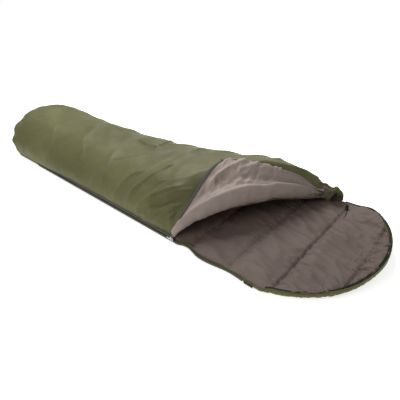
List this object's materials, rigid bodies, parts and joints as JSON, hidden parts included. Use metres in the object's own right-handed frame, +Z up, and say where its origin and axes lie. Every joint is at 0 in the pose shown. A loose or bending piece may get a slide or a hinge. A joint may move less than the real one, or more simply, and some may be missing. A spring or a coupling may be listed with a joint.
{
  "type": "mummy sleeping bag",
  "caption": "Quilted mummy sleeping bag lying flat, side zip half open, front corner folded back, shaped hood with drawcord and cord lock.",
  "frame": {"origin": "middle of the bag's length and width, on the ground", "axes": "+X to the zip side, +Y to the hood, +Z up from the ground"},
  "size_m": [0.8, 2.1496, 0.2678],
  "materials": {
    "shell_cloth": "olive woven nylon, slight sheen",
    "filling": "white polyester wadding",
    "lining_cloth": "grey-brown woven lining",
    "trim_cloth": "dark olive binding",
    "zip_tape": "grey woven tape",
    "zip_coil": "black nylon coil",
    "cord": "black braided cord",
    "dark_plastic": "black moulded plastic",
    "bright_steel": "bare metal"
  },
  "bodies": {
    "bag": {"base_shell": "shell_cloth", "base_fill": "filling", "base_lining": "lining_cloth", "top_shell": "shell_cloth", "top_fill": "filling", "top_lining": "lining_cloth", "foot_shell": "shell_cloth", "foot_fill": "filling", "foot_lining": "lining_cloth", "side_seam": "trim_cloth", "collar_hem": "trim_cloth", "collar_tab": "zip_tape", "zip_tape_base": "zip_tape", "zip_tape_top": "zip_tape", "zip_coil_base": "zip_coil", "zip_coil_top": "zip_coil", "zip_foot_stop": "dark_plastic"},
    "flap": {"flap_shell": "shell_cloth", "flap_fill": "filling", "flap_lining": "lining_cloth", "flap_zip_tape": "zip_tape", "flap_zip_coil": "zip_coil", "flap_top_stop": "dark_plastic", "flap_collar_hem": "trim_cloth"},
    "hood": {"hood_shell": "shell_cloth", "hood_fill": "filling", "hood_lining": "lining_cloth", "hood_hem": "trim_cloth", "hood_drawcord": "cord", "cord_tail": "cord", "cord_knot": "cord"},
    "cord_lock": {"lock_barrel": "dark_plastic", "lock_spring": "bright_steel"},
    "button": {"lock_button": "dark_plastic"},
    "slider": {"slider_body": "bright_steel"},
    "pull": {"slider_pull": "bright_steel"}
  },
  "joints": [
    {"name": "flap_fold", "type": "hinge", "parent": "bag", "child": "flap", "pos_m": [0.01834, 0.477, 0.051], "axis": [0.8701, -0.492, -0.0282], "range_deg": [-95, 0]},
    {"name": "hood_lift", "type": "hinge", "parent": "bag", "child": "hood", "pos_m": [0, 0.7415, 0.0178], "axis": [1, 0, 0], "range_deg": [0, 80]},
    {"name": "zip_slide", "type": "slide", "parent": "bag", "child": "slider", "axis": [-0.0853, -0.9964, 0], "range_m": [0, 1.06]},
    {"name": "pull_turn", "type": "hinge", "parent": "slider", "child": "pull", "pos_m": [0.36644, 0.28427, 0.021], "axis": [0, 0, 1], "range_deg": [0, 165]},
    {"name": "lock_slide", "type": "slide", "parent": "hood", "child": "cord_lock", "axis": [0.9511, 0.309, 0], "range_m": [0, 0.02]},
    {"name": "lock_press", "type": "slide", "parent": "cord_lock", "child": "button", "axis": [0, 0, -1], "range_m": [0, 0.003], "stiffness_N_per_m": 600, "springref_m": -0.002, "deforming": ["lock_spring"]}
  ]
}
